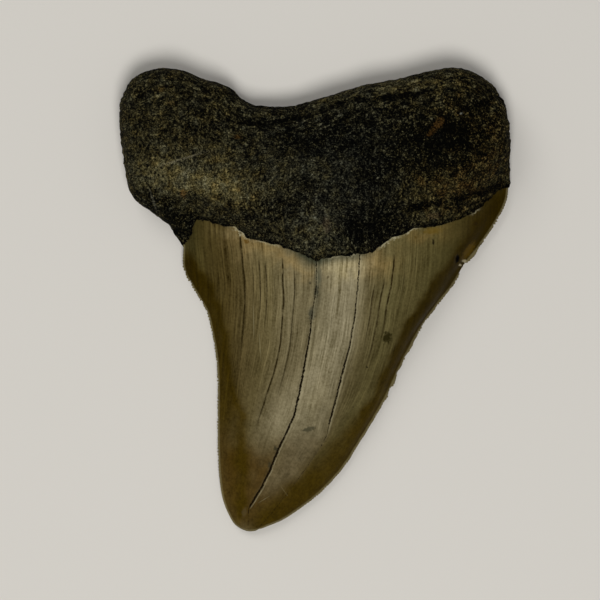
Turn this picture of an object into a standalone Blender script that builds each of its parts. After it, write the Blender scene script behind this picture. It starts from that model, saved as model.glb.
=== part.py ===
import bpy
import bmesh
import math
from mathutils import Vector, noise
from mathutils.geometry import interpolate_bezier

for old in list(bpy.data.objects):
    bpy.data.objects.remove(old, do_unlink=True)

# A fossil shark tooth lying on its flatter outer face, inner face up.
# X runs across the tooth, Y from the tip to the root, Z up through it.
# Plan points and depths are in millimetres here and become metres at the end.

MM = 0.001

# Depths through the tooth
CROWN_RISE = 15.4           # crown thickness above the cutting edges, at its base
CROWN_TAPER = 0.62          # how fast that thickness falls away toward the tip
CROWN_SWELL = 1.2           # above 1 hollows the crown slightly beside its edges
EDGE_LOW = 1.5              # height of the cutting edges at their lowest
EDGE_BOW = 3.0              # how much the edges climb again toward tip and base
BACK_BOW = 2.4              # the same for the middle of the outer face
BACK_SETTLE = 0.05          # depth sunk into the ground plane, which gives the flats
ROOT_SIDE_HEIGHT = 6.4      # height of the widest line round the root
ROOT_PLATE = 14.6           # root thickness over the lobes
ROOT_BULGE = 8.6            # what the swelling in the middle adds
ROOT_SADDLE = 2.4           # how far the root dips under the notch between the lobes
BEVEL_WIDTH = 3.2           # narrow bevel along the top of the root
SHOULDER_WIDTH = 12.0       # wide rounding of the root inside that bevel
BACK_ROUNDING = 6.5         # rounding of the root on its outer face

# Enamel, serrations and cracks
ENAMEL_STEP = 0.5           # height of the enamel edge above the root
ENAMEL_STEP_RUN = 0.4
SERRATION_PITCH = 0.75
SERRATION_DEPTH = 0.34
CRACK_HALF_WIDTH = 0.28
CRACK_DEPTH = 0.45

# Lumps and layers of the root
LUMP_HEIGHT = 0.7
LAYER_HEIGHT = 0.45

# Mesh density
CROWN_ROWS = 28
ROOT_ROWS = 24
COLUMNS_LEFT = 14
COLUMNS_MIDDLE = 6
COLUMNS_RIGHT = 16
CROWDING = 1.25             # above 1 draws rows and columns together at the outline

# Left cutting edge from the tip up to the shoulder
LEFT_EDGE = (
    (-21.4, -55.4), (-22.8, -52.4), (-23.8, -48.7), (-24.5, -41.5), (-24.7, -33.0),
    (-24.7, -20.5), (-25.2, -13.5), (-26.4, -7.0), (-27.2, -3.6), (-27.9, -2.0),
    (-29.3, 0.4), (-31.3, 3.8), (-32.8, 6.4), (-33.5, 9.0), (-33.4, 13.8),
)
# Rounded tip from the left edge round to the right one
TIP = (
    (-21.4, -55.4), (-20.4, -56.9), (-18.7, -58.1), (-16.6, -58.7), (-14.4, -58.3),
    (-12.5, -57.5),
)
# Right cutting edge from the tip up to the shoulder
RIGHT_EDGE = (
    (-12.5, -57.5), (-8.4, -55.8), (-4.8, -53.5), (1.2, -48.8), (6.9, -42.7),
    (11.6, -35.5), (16.2, -27.9), (19.2, -22.4), (21.6, -17.0), (24.5, -11.4),
    (27.4, -6.3), (30.9, -1.4), (34.6, 3.3), (36.9, 6.9), (39.0, 10.2), (41.2, 13.0),
    (44.7, 18.0), (47.3, 22.4), (48.7, 26.0), (49.0, 28.7),
)
# Left side of the root, up the ragged slope where the crown shoulder is gone
ROOT_LEFT = (
    (-33.4, 13.8), (-34.6, 15.6), (-36.9, 18.7), (-39.2, 20.8), (-41.7, 22.3),
    (-44.2, 24.2), (-46.2, 25.5), (-47.0, 27.4), (-47.8, 31.0), (-48.6, 36.5),
    (-49.3, 42.0), (-49.5, 46.5), (-49.0, 50.5), (-47.6, 53.8), (-45.0, 56.5),
)
# Top of the root, over both lobes and the shallow notch between them
ROOT_TOP = (
    (-45.0, 56.5), (-41.7, 57.9), (-37.4, 58.5), (-33.4, 58.1), (-30.6, 56.9),
    (-28.3, 55.7), (-25.5, 55.1), (-22.5, 54.1), (-20.5, 52.7), (-19.2, 50.9),
    (-16.9, 49.6), (-14.4, 48.9), (-9.4, 48.9), (-4.6, 48.9), (-2.0, 49.8),
    (2.5, 51.2), (7.6, 52.8), (11.9, 54.1), (19.0, 55.4), (25.3, 56.7),
    (29.6, 58.0), (33.6, 58.6), (37.7, 58.1), (41.7, 56.5), (44.7, 54.0), (46.6, 51.2),
)
ROOT_RIGHT = (
    (49.0, 28.7), (49.3, 33.0), (49.4, 38.5), (49.0, 44.4), (48.0, 48.7), (46.6, 51.2),
)
# Where the enamel ends on the inner face, left to right
ENAMEL_LINE = (
    (-33.4, 13.8), (-32.4, 14.6), (-31.5, 16.2), (-31.0, 18.4), (-29.8, 20.1),
    (-27.6, 20.2), (-25.5, 19.3), (-22.2, 18.8), (-20.0, 18.2), (-17.9, 16.4),
    (-16.7, 15.5), (-13.4, 14.8), (-9.9, 13.9), (-5.8, 12.5), (-2.5, 11.2),
    (0.0, 10.5), (2.5, 11.0), (4.8, 11.6), (7.8, 11.6), (10.4, 12.2), (13.9, 12.5),
    (16.4, 13.7), (19.7, 15.7), (22.2, 16.6), (24.3, 18.0), (27.6, 18.3),
    (31.1, 18.8), (34.1, 19.8), (37.9, 21.0), (41.0, 22.9), (43.7, 25.2),
    (46.3, 27.6), (49.0, 28.7),
)
# Where it ends on the outer face: a shallower sweep, set higher
ENAMEL_LINE_BACK = (
    (-33.4, 13.8), (-30.5, 18.0), (-24.0, 21.0), (-14.0, 21.8), (-4.0, 21.4),
    (4.0, 21.2), (14.0, 21.8), (26.0, 23.6), (38.0, 26.6), (49.0, 28.7),
)
# The two deep cracks down the crown, from the tip end up to the enamel line
CRACK_A = (
    (-16.7, -52.7), (-13.9, -47.9), (-11.4, -42.8), (-9.4, -37.8), (-7.1, -33.0),
    (-5.1, -28.2), (-3.8, -22.1), (-2.4, -14.5), (-1.3, -8.2), (-0.6, -1.9),
    (0.1, 2.1), (0.3, 5.7),
)
CRACK_B = (
    (2.3, -35.3), (3.8, -30.2), (5.4, -24.1), (7.0, -17.6), (8.7, -11.2),
    (9.9, -3.7), (10.7, 3.9),
)
CRACK_B_FOOT = (-7.6, -49.5)          # its line runs on unopened past here
CRACK_A_SHARE = 0.42                  # where the crack lines meet the tip
CRACK_B_SHARE = 0.62
CRACK_A_TOP = 0.3                     # X where they meet the enamel line
CRACK_B_TOP = 11.2
# Nicks and proud spots on the right cutting edge: Y, depth, half width. The
# last two stand either side of the step where a piece of the shoulder is gone.
EDGE_FLAWS = (
    (-5.9, 0.30, 0.8), (-11.8, -0.22, 1.0), (-13.8, 0.35, 0.7), (-18.1, 0.30, 0.8),
    (-20.9, -0.25, 0.9), (-22.9, 0.42, 0.8), (-24.7, -0.25, 0.8),
    (8.1, 0.55, 1.5), (11.2, -0.42, 1.5),
)


class Line:
    # A smooth plan curve through some points, read by its share of length

    def __init__(self, points, steps=10):
        knots = [Vector((x, y)) for x, y in points]
        tangents = []
        for i, here in enumerate(knots):
            before = knots[max(i - 1, 0)]
            after = knots[min(i + 1, len(knots) - 1)]
            tangents.append((after - before).normalized())
        self.points = [knots[0]]
        for i in range(len(knots) - 1):
            a = knots[i]
            b = knots[i + 1]
            reach = (b - a).length / 3
            arc = interpolate_bezier(
                a, a + tangents[i] * reach, b - tangents[i + 1] * reach, b, steps + 1)
            self.points.extend(Vector(p[:2]) for p in arc[1:])
        self.marks = [0.0]
        for a, b in zip(self.points, self.points[1:]):
            self.marks.append(self.marks[-1] + (b - a).length)
        self.length = self.marks[-1]

    def at(self, share):
        want = min(max(share, 0.0), 1.0) * self.length
        low = 0
        high = len(self.marks) - 1
        while high - low > 1:
            middle = (low + high) // 2
            if self.marks[middle] > want:
                high = middle
            else:
                low = middle
        span = self.marks[high] - self.marks[low]
        part = (want - self.marks[low]) / span if span else 0.0
        return self.points[low].lerp(self.points[high], part)

    def outward(self, share, side):
        # Plan direction square to the curve, side +1 to its right
        step = 0.4 / self.length
        along = (self.at(share + step) - self.at(share - step)).normalized()
        return Vector((along.y, -along.x)) * side

    def share_at_x(self, x):
        best = min(range(len(self.points)), key=lambda i: abs(self.points[i].x - x))
        return self.marks[best] / self.length


def clamp(value, low=0.0, high=1.0):
    return min(max(value, low), high)


def ease(value):
    value = clamp(value)
    return value * value * (3 - 2 * value)


def quarter_round(value):
    value = clamp(value)
    return math.sqrt(1 - (1 - value) ** 2)


def hump(x, y, cx, cy, rx, ry):
    return math.exp(-((x - cx) / rx) ** 2 - ((y - cy) / ry) ** 2)


left_edge = Line(LEFT_EDGE)
right_edge = Line(RIGHT_EDGE)
tip = Line(TIP)
root_left = Line(ROOT_LEFT)
root_top = Line(ROOT_TOP)
root_right = Line(ROOT_RIGHT)
root_outline = root_left.points + root_top.points + root_right.points


def distance_to_root_outline(point):
    return min((point - p).length for p in root_outline)


# Heights. t is the share of the way from tip to enamel line, u goes from -1
# at the left edge through 0 in the middle to 1 at the right edge.

def edge_height(t):
    return EDGE_LOW + EDGE_BOW * (t - 0.35) ** 2


def crown_height(u, t):
    swell = (1 - u * u) ** CROWN_SWELL
    return edge_height(t) + CROWN_RISE * t ** CROWN_TAPER * swell


def crown_back_height(u, t):
    middle = BACK_BOW * (t - 0.35) ** 2
    closing = math.sqrt(clamp(t / 0.06))
    drop = (edge_height(t) - middle) * (1 - abs(u) ** 2.4) * closing
    return max(0.0, edge_height(t) - drop - BACK_SETTLE * closing * (1 - u * u))


def root_side_height(along):
    # along: millimetres of outline walked from the crown shoulder
    start = edge_height(1.0)
    return start + (ROOT_SIDE_HEIGHT - start) * ease(along / 14.0)


def root_height(x, y, d, side):
    # d: distance in from the outline, side: height of the outline there
    full = ROOT_PLATE
    full += ROOT_BULGE * hump(x, y, 6.0, 25.0, 25.0, 12.5)
    full -= ROOT_SADDLE * hump(x, y, -12.0, 50.0, 14.0, 9.0)
    full += 1.3 * hump(x, y, 34.0, 42.0, 13.0, 11.0)
    full += 1.0 * hump(x, y, -38.0, 44.0, 10.0, 9.0)
    full -= 1.4 * hump(x, y, -24.0, 36.0, 7.0, 16.0)
    edge = 0.5 * quarter_round(d / BEVEL_WIDTH) + 0.5 * quarter_round(d / SHOULDER_WIDTH)
    lumps = LUMP_HEIGHT * noise.noise(Vector((x / 9.0, y / 6.5, 2.3)))
    lumps += 0.5 * LUMP_HEIGHT * noise.noise(Vector((x / 4.2, y / 3.4, 8.1)))
    layers = LAYER_HEIGHT * noise.noise(Vector((x / 22.0, y / 2.6, 5.7)))
    return side + (full - side) * edge + (lumps + layers * ease((y - 30) / 10)) * edge


def root_back_height(x, y, d, side):
    low = 1.7 * hump(x, y, 0.0, 36.0, 20.0, 24.0) + 0.8 * hump(x, y, 0.0, 20.0, 60.0, 7.0)
    low += 0.03 * (58.0 - y) * 0.5
    low -= 0.42 * hump(x, y, -37.0, 43.0, 11.0, 10.0)
    low -= 0.42 * hump(x, y, 37.0, 43.0, 11.0, 10.0)
    low += 0.35 * noise.noise(Vector((x / 8.0, y / 6.0, 14.9)))
    edge = quarter_round(d / BACK_ROUNDING)
    return max(0.0, side + (low - side) * edge)


def flaw(point):
    # How far the nicks and proud spots move the right edge inward here
    total = 0.0
    for y, depth, half in EDGE_FLAWS:
        total += depth * math.exp(-((point.y - y) / half) ** 4)
    return total


def edge_point(line, side, share, tooth):
    # tooth: +1 on the crest of a serration, -1 in a gap, 0 on a plain stretch
    worn = ease((share - 0.07) / 0.10) * ease((0.97 - share) / 0.06)
    chipped = 0.75 + 0.45 * noise.noise(Vector((share * 60.0, side, 0.4)))
    push = 0.5 * SERRATION_DEPTH * tooth * worn * chipped
    point = line.at(share)
    if side > 0:
        push -= flaw(point)
    return point + line.outward(share, side) * push


def row_share(j):
    # Rows stand a little closer near the tip
    return (j / CROWN_ROWS) ** 1.14


def plan_of_crown(enamel):
    # Plan positions of the crown grid: rows from tip to enamel line, each
    # running left edge, crack A, crack B, right edge with columns between
    tops = (0.0, enamel.share_at_x(CRACK_A_TOP), enamel.share_at_x(CRACK_B_TOP), 1.0)
    feet = (0.0, CRACK_A_SHARE, CRACK_B_SHARE, 1.0)
    top_a = enamel.at(tops[1])
    top_b = enamel.at(tops[2])
    foot_a = tip.at(feet[1])
    foot_b = tip.at(feet[2])
    crack_a = Line((tuple(foot_a),) + CRACK_A + (tuple(top_a),))
    crack_b = Line((tuple(foot_b), CRACK_B_FOOT) + CRACK_B + (tuple(top_b),))
    guides = (left_edge, crack_a, crack_b, right_edge)
    counts = (COLUMNS_LEFT, COLUMNS_MIDDLE, COLUMNS_RIGHT)
    rows = []
    for j in range(CROWN_ROWS + 1):
        t = row_share(j)
        row = []
        for panel in range(3):
            g0 = guides[panel]
            g1 = guides[panel + 1]
            for i in range(counts[panel]):
                a = i / counts[panel]
                if panel == 0:
                    a = a ** CROWDING
                if panel == 2:
                    a = 1 - (1 - a) ** CROWDING
                sides = g0.at(t).lerp(g1.at(t), a)
                low = tip.at(feet[panel] + (feet[panel + 1] - feet[panel]) * a)
                high = enamel.at(tops[panel] + (tops[panel + 1] - tops[panel]) * a)
                ends = low.lerp(high, t)
                flat_low = g0.at(0).lerp(g1.at(0), a)
                flat_high = g0.at(1).lerp(g1.at(1), a)
                row.append(sides + ends - flat_low.lerp(flat_high, t))
        row.append(right_edge.at(t))
        # A column close by on each side of a crack makes the lips of its groove
        for crack in (COLUMNS_LEFT + COLUMNS_MIDDLE, COLUMNS_LEFT):
            here = row[crack]
            lips = []
            for beside in (row[crack - 1], row[crack + 1]):
                gap = (beside - here).length
                lips.append(here.lerp(beside, min(CRACK_HALF_WIDTH, gap * 0.4) / gap))
            row[crack:crack + 1] = [lips[0], here, lips[1]]
        rows.append(row)
    return rows


CRACK_COLUMN_A = COLUMNS_LEFT + 1
CRACK_COLUMN_B = COLUMNS_LEFT + COLUMNS_MIDDLE + 3
LAST_COLUMN = COLUMNS_LEFT + COLUMNS_MIDDLE + COLUMNS_RIGHT + 4
LAST_ROW = CROWN_ROWS + 1 + ROOT_ROWS


def spread(share):
    # Shares of a width, drawn together at both ends
    if share > 0.5:
        return 1 - spread(1 - share)
    return 0.5 * (2 * share) ** CROWDING


def plan_of_root(border):
    # Plan positions of the root rows above the given enamel row. The first
    # one lies right beside the enamel and makes its step.
    shares = [0.0]
    for a, b in zip(border, border[1:]):
        shares.append(shares[-1] + (b - a).length)
    shares = [s / shares[-1] for s in shares]
    rows = []
    for j in range(ROOT_ROWS + 1):
        climb = 1 - (1 - j / ROOT_ROWS) ** CROWDING
        row = []
        for k in range(LAST_COLUMN + 1):
            across = spread(k / LAST_COLUMN)
            top = root_top.at(across)
            first = ENAMEL_STEP_RUN / (top - border[k]).length
            if k in (0, LAST_COLUMN):
                first = 0.4 / ROOT_ROWS
            b = first + (1 - first) * climb
            a = shares[k] + (across - shares[k]) * b
            inner = border[k].lerp(top, b)
            left = root_left.at(b) - root_left.at(0).lerp(root_left.at(1), b)
            right = root_right.at(b) - root_right.at(0).lerp(root_right.at(1), b)
            row.append(inner + left * (1 - a) + right * a)
        rows.append(row)
    return rows


def crack_depth(column, point, row):
    if row > CROWN_ROWS - 1:
        return 0.0
    if column == CRACK_COLUMN_A:
        return CRACK_DEPTH * ease((point.y + 53.5) / 10.0)
    if column == CRACK_COLUMN_B:
        return 0.75 * CRACK_DEPTH * ease((point.y + 36.5) / 12.0)
    return 0.0


def sheet(enamel, front):
    # One face of the tooth as rows of 3D points from tip to root top
    crown = plan_of_crown(enamel)
    root = plan_of_root(crown[CROWN_ROWS])
    points = []
    for j, row in enumerate(crown):
        t = row_share(j)
        line = []
        for k, p in enumerate(row):
            to_left = (p - row[0]).length
            to_right = (p - row[-1]).length
            u = (to_left - to_right) / (to_left + to_right)
            if front:
                z = crown_height(u, t) - crack_depth(k, p, j)
            else:
                z = crown_back_height(u, t)
            line.append(Vector((p.x, p.y, z)))
        points.append(line)
    rim = points[-1]
    for j, row in enumerate(root):
        line = []
        for k, p in enumerate(row):
            b = 1 - (1 - j / ROOT_ROWS) ** CROWDING
            d = distance_to_root_outline(p)
            walked = b * (root_left.length + (root_right.length - root_left.length)
                          * k / LAST_COLUMN)
            side = root_side_height(max(walked, d))
            if j == ROOT_ROWS:
                side = ROOT_SIDE_HEIGHT
            if k in (0, LAST_COLUMN) or j == ROOT_ROWS:
                line.append(Vector((p.x, p.y, side)))
                continue
            away = (p - Vector(rim[k][:2])).length
            near = rim[k].z
            step = ENAMEL_STEP * ease(d / 4.0)
            if front:
                far = root_height(p.x, p.y, d, side)
                z = near - step + (far - near + step) * ease((away + 1.0) / 14.0)
            else:
                far = root_back_height(p.x, p.y, d, side)
                z = near + 0.6 * step + (far - near - 0.6 * step) * ease(away / 8.0)
            line.append(Vector((p.x, p.y, z)))
        points.append(line)
    return points


def serrated_edge(line, side):
    # Height-carrying points of one cutting edge, grouped by crown row
    groups = []
    per_row = 2 * round(line.length / CROWN_ROWS / SERRATION_PITCH)
    for j in range(CROWN_ROWS):
        group = []
        for i in range(per_row):
            share = row_share(j + i / per_row)
            tooth = 1 if i % 2 else -1
            p = edge_point(line, side, share, tooth)
            group.append(Vector((p.x, p.y, edge_height(share))))
        groups.append(group)
    return groups


front_points = sheet(Line(ENAMEL_LINE), True)
back_points = sheet(Line(ENAMEL_LINE_BACK), False)
edges = {0: serrated_edge(left_edge, -1), LAST_COLUMN: serrated_edge(right_edge, 1)}

bm = bmesh.new()


def new_vert(p):
    return bm.verts.new(p * MM)


# Both faces share the outline: edge columns, tip row and top row
front = []
back = []
edge_verts = {0: [], LAST_COLUMN: []}
for j in range(LAST_ROW + 1):
    front_row = []
    back_row = []
    for k in range(LAST_COLUMN + 1):
        if k in edges and j < CROWN_ROWS:
            verts = [new_vert(p) for p in edges[k][j]]
            edge_verts[k].append(verts)
            front_row.append(verts[0])
            back_row.append(verts[0])
        elif k in edges or j in (0, LAST_ROW):
            vert = new_vert(front_points[j][k])
            front_row.append(vert)
            back_row.append(vert)
        else:
            front_row.append(new_vert(front_points[j][k]))
            back_row.append(new_vert(back_points[j][k]))
    front.append(front_row)
    back.append(back_row)


def add_face(verts, flip):
    bm.faces.new(verts[::-1] if flip else verts)


def fill(rows, flip):
    for j in range(LAST_ROW):
        for k in range(LAST_COLUMN):
            corners = (rows[j][k], rows[j][k + 1], rows[j + 1][k + 1], rows[j + 1][k])
            on_side = k in (0, LAST_COLUMN - 1)
            if on_side and j == LAST_ROW - 1:
                # The cut across a top corner ends on the inner point, because
                # the other three belong to both faces of the tooth
                first = 0 if k else 1
                add_face([corners[(first + i) % 4] for i in (0, 1, 2)], flip)
                add_face([corners[(first + i) % 4] for i in (0, 2, 3)], flip)
            elif on_side and j < CROWN_ROWS:
                # A strip beside a cutting edge fans out to its serrations
                right = k > 0
                column = LAST_COLUMN if right else 0
                low, high = (corners[0], corners[3]) if right else (corners[1], corners[2])
                outer = edge_verts[column][j] + [rows[j + 1][column]]
                half = len(outer) // 2 if j else 0
                turned = flip != right
                for i in range(len(outer) - 1):
                    inner = low if i < half else high
                    add_face((inner, outer[i + 1], outer[i]), turned)
                add_face((low, high, outer[half]), turned)
            else:
                add_face(corners, flip)


fill(front, False)
fill(back, True)
bmesh.ops.triangulate(bm, faces=bm.faces[:], quad_method='SHORT_EDGE')
bmesh.ops.recalc_face_normals(bm, faces=bm.faces[:])

# The origin goes under the middle of the tooth, on the plane it rests on
xs = [v.co.x for v in bm.verts]
ys = [v.co.y for v in bm.verts]
zs = [v.co.z for v in bm.verts]
centre = Vector(((min(xs) + max(xs)) / 2, (min(ys) + max(ys)) / 2, min(zs)))
bmesh.ops.translate(bm, verts=bm.verts[:], vec=-centre)

mesh = bpy.data.meshes.new("tooth")
bm.to_mesh(mesh)
bm.free()
mesh.shade_smooth()
mesh.set_sharp_from_angle(angle=math.radians(35))

tooth = bpy.data.objects.new("tooth", mesh)
bpy.context.scene.collection.objects.link(tooth)

fossil = bpy.data.materials.new("fossil enamel and root")
fossil.use_nodes = True
shader = fossil.node_tree.nodes["Principled BSDF"]
shader.inputs["Base Color"].default_value = (0.15, 0.13, 0.08, 1.0)
shader.inputs["Roughness"].default_value = 0.45
shader.inputs["Metallic"].default_value = 0.0
mesh.materials.append(fossil)
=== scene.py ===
# A large fossil shark tooth, lying on its outer face and seen from above
import bpy
import math
import numpy as np
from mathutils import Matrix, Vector, kdtree, noise
from mathutils.geometry import interpolate_bezier


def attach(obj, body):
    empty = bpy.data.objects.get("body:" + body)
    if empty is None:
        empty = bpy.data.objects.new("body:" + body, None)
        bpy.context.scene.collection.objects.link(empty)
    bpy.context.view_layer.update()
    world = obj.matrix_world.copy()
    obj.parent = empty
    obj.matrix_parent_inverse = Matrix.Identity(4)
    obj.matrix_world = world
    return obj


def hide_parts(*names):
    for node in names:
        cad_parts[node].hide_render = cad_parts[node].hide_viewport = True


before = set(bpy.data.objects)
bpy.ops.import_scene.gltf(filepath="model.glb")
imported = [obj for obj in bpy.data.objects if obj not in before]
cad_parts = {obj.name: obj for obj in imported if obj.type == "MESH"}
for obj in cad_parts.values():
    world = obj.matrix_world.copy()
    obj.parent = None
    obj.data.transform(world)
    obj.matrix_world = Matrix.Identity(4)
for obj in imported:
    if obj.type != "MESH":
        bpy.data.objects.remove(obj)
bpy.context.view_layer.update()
print("frame loaded")

mm = 0.001
scene = bpy.context.scene


def linear(hexColour):
    # sRGB hex to the linear values that Blender shades with
    parts = [int(hexColour[i:i + 2], 16) / 255 for i in (1, 3, 5)]
    return tuple(c / 12.92 if c <= 0.04045 else ((c + 0.055) / 1.055) ** 2.4 for c in parts) + (1.0,)


def addNode(tree, kind, settings, out=0):
    # One node with its properties, its input values and what feeds its inputs
    node = tree.nodes.new(kind)
    for name, value in settings.items():
        if isinstance(name, str) and hasattr(node, name):
            setattr(node, name, value)
        elif isinstance(value, bpy.types.NodeSocket):
            tree.links.new(value, node.inputs[name])
        else:
            node.inputs[name].default_value = value
    return node.outputs[out] if out is not None else node


# The tooth's own lines, in millimetres on the resting plane

leftEdge = (
    (-16.6, -58.7), (-18.7, -58.1), (-20.4, -56.9), (-21.4, -55.4), (-22.8, -52.4),
    (-23.8, -48.7), (-24.5, -41.5), (-24.7, -33.0), (-24.7, -20.5), (-25.2, -13.5),
    (-26.4, -7.0), (-27.2, -3.6), (-27.9, -2.0), (-29.3, 0.4), (-31.3, 3.8),
    (-32.8, 6.4), (-33.5, 9.0), (-33.4, 13.8),
)
rightEdge = (
    (-16.6, -58.7), (-14.4, -58.3), (-12.5, -57.5), (-8.4, -55.8), (-4.8, -53.5),
    (1.2, -48.8), (6.9, -42.7), (11.6, -35.5), (16.2, -27.9), (19.2, -22.4),
    (21.6, -17.0), (24.5, -11.4), (27.4, -6.3), (30.9, -1.4), (34.6, 3.3), (36.9, 6.9),
    (39.0, 10.2), (41.2, 13.0), (44.7, 18.0), (47.3, 22.4), (48.7, 26.0), (49.0, 28.7),
)
enamelEnd = (
    (-33.4, 13.8), (-32.4, 14.6), (-31.5, 16.2), (-31.0, 18.4), (-29.8, 20.1),
    (-27.6, 20.2), (-25.5, 19.3), (-22.2, 18.8), (-20.0, 18.2), (-17.9, 16.4),
    (-16.7, 15.5), (-13.4, 14.8), (-9.9, 13.9), (-5.8, 12.5), (-2.5, 11.2),
    (0.0, 10.1), (2.5, 10.5), (4.8, 11.0), (7.8, 11.1), (10.4, 11.5), (13.9, 12.0),
    (16.4, 13.7), (19.7, 15.7), (22.2, 16.6), (24.3, 18.0), (27.6, 18.3),
    (31.1, 18.8), (34.1, 19.8), (37.9, 21.0), (41.0, 22.9), (43.7, 25.2),
    (46.3, 27.6), (49.0, 28.7),
)
enamelEndBack = (
    (-33.4, 13.8), (-30.5, 18.0), (-24.0, 21.0), (-14.0, 21.8), (-4.0, 21.4),
    (4.0, 21.2), (14.0, 21.8), (26.0, 23.6), (38.0, 26.6), (49.0, 28.7),
)
crackA = (
    (-17.0, -59.4), (-16.9, -56.0), (-16.7, -52.7), (-13.9, -47.9), (-11.4, -42.8), (-9.4, -37.8),
    (-7.1, -33.0), (-5.1, -28.2), (-3.8, -22.1), (-2.4, -14.5), (-1.3, -8.2), (-0.6, -1.9),
    (0.1, 2.1), (0.3, 5.7), (0.3, 10.5), (0.3, 22.0),
)
crackB = (
    (-15.8, -59.4), (-7.6, -49.5), (2.3, -35.3), (3.8, -30.2), (5.4, -24.1),
    (7.0, -17.6), (8.7, -11.2), (9.9, -3.7), (10.7, 3.9), (11.2, 12.2), (11.4, 22.0),
)
rootTop = (
    (-45.0, 56.5), (-41.7, 57.9), (-37.4, 58.5), (-33.4, 58.1), (-30.6, 56.9),
    (-28.3, 55.7), (-25.5, 55.1), (-22.5, 54.1), (-20.5, 52.7), (-19.2, 50.9),
    (-16.9, 49.6), (-14.4, 48.9), (-9.4, 48.9), (-4.6, 48.9), (-2.0, 49.8),
    (2.5, 51.2), (7.6, 52.8), (11.9, 54.1), (19.0, 55.4), (25.3, 56.7),
    (29.6, 58.0), (33.6, 58.6), (37.7, 58.1), (41.7, 56.5), (44.7, 54.0), (46.6, 51.2),
)
# Fine cracks beside the deep ones A and B
crackC = (
    (-19.7, -58.6), (-21.0, -50.0), (-21.2, -40.0), (-20.2, -24.0), (-18.9, -13.0), (-18.5, -10.4),
    (-18.0, -4.2), (-17.8, 1.1), (-17.8, 5.0), (-18.1, 8.1), (-18.5, 12.6), (-18.8, 14.9), (-19.0, 22.0),
)
crackD = (
    (-18.3, -59.0), (-17.8, -51.0), (-16.6, -42.0), (-14.7, -31.9), (-12.9, -25.7), (-10.8, -19.3),
    (-9.6, -15.2), (-8.8, -11.2), (-8.4, -6.2), (-8.0, -1.1), (-7.9, 1.7), (-8.1, 4.5), (-8.2, 10.1),
    (-8.3, 22.0),
)
crackE = (
    (-13.6, -59.2), (-8.8, -53.0), (-3.8, -46.0), (0.8, -39.1), (5.1, -34.0), (8.8, -29.0),
    (11.9, -23.9), (14.4, -17.6), (16.2, -11.2), (17.5, -4.8), (17.8, -2.5), (18.5, 0.9), (19.1, 3.4),
    (19.4, 6.2), (19.7, 8.5), (20.0, 14.0), (20.2, 22.0),
)
# The growth lines run between these, from left to right, each at its growth place
growthGuides = ((crackC, 14), (crackD, 25), (crackA, 33), (crackB, 44), (crackE, 52))
# Middle of the amber stain that follows each cutting edge
amberLeft = (
    (-32.0, 12.5), (-31.2, 9.6), (-29.6, 6.9), (-27.3, 3.4), (-25.5, -0.6), (-23.9, -5.7), (-23.0, -10.0),
    (-22.5, -14.5), (-22.0, -18.6), (-21.2, -22.5), (-18.9, -27.7), (-18.5, -33.2), (-18.5, -38.8),
    (-18.2, -44.4), (-18.5, -49.0), (-18.8, -54.0),
)
amberRight = (
    (46.8, 26.2), (43.2, 20.9), (39.0, 15.6), (34.8, 9.9), (31.9, 5.9), (29.1, 1.6), (26.8, -2.1),
    (24.0, -6.2), (22.0, -10.4), (20.4, -13.2), (18.4, -17.8), (16.4, -21.1), (15.6, -25.1),
    (13.1, -28.2), (10.8, -32.5), (7.4, -36.7), (3.2, -40.8), (-1.0, -44.3), (-3.8, -46.4), (-8.6, -49.9),
    (-12.0, -53.4), (-14.6, -57.0),
)
rootCreases = (
    ((23.5, 23.0), (27.8, 24.1), (31.6, 24.4), (35.4, 25.1), (39.2, 26.2), (43.0, 27.4), (46.5, 29.2)),
    ((1.8, 47.7), (7.6, 49.9), (14.4, 50.7), (21.5, 51.2), (29.1, 52.7)),
    ((37.5, 48.0), (41.5, 49.3), (46.0, 51.6)),
    ((-22.0, 45.5), (-16.0, 44.6), (-9.0, 45.2), (-3.0, 46.3)),
)
crestSheen = (       # the middle of the crown, where a sheen is painted into the colour
    (6.8, 12.0), (6.3, 0.0), (6.3, -7.5), (4.0, -12.5), (1.8, -17.6), (-2.0, -22.6), (-5.8, -27.7),
    (-8.0, -31.0),
)


def smoothLine(points, steps=8):
    # The same smooth course through the points that the solid has
    knots = [Vector(p) for p in points]
    last = len(knots) - 1
    tangents = []
    for i in range(len(knots)):
        tangents.append((knots[min(i + 1, last)] - knots[max(i - 1, 0)]).normalized())
    line = [knots[0]]
    for i in range(last):
        start, end = knots[i], knots[i + 1]
        reach = (end - start).length / 3
        line += interpolate_bezier(
            start, start + tangents[i] * reach, end - tangents[i + 1] * reach, end, steps + 1)[1:]
    return np.array([(p[0], p[1]) for p in line])


def nearLine(plan, line):
    # For each place: distance to the line, plus on its right and minus on its
    # left, how far along it, and the direction square to it there
    tooSmall = 1e-9
    nearest = np.full(len(plan), 1e9)
    side = np.ones(len(plan))
    along = np.zeros(len(plan))
    across = np.zeros((len(plan), 2))
    walked = 0.0
    for start, end in zip(line, line[1:]):
        step = end - start
        length = np.hypot(*step)
        if length < tooSmall:
            continue
        offset = plan - start
        share = np.clip((offset @ step) / length ** 2, 0, 1)
        gap = offset - share[:, None] * step
        distance = np.hypot(gap[:, 0], gap[:, 1])
        turn = step[1] * offset[:, 0] - step[0] * offset[:, 1]
        closer = distance < nearest - tooSmall
        nearest[closer] = distance[closer]
        side[closer] = np.where(turn[closer] >= 0, 1.0, -1.0)
        along[closer] = walked + share[closer] * length
        across[closer] = (step[1] / length, -step[0] / length)
        walked += length
    return nearest * side, along, across


def gapTo(points, plan):
    # Distance to the smooth line through the points, plus on its right
    return nearLine(plan, smoothLine(points))[0]


def ease(share):
    # A smooth rise from 0 to 1
    share = np.clip(share, 0, 1)
    return share * share * (3 - 2 * share)


def bell(distance, width, middle=0.0):
    # 1 at the middle, falling off smoothly to both sides
    return np.exp(-((distance - middle) / width) ** 2)


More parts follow.
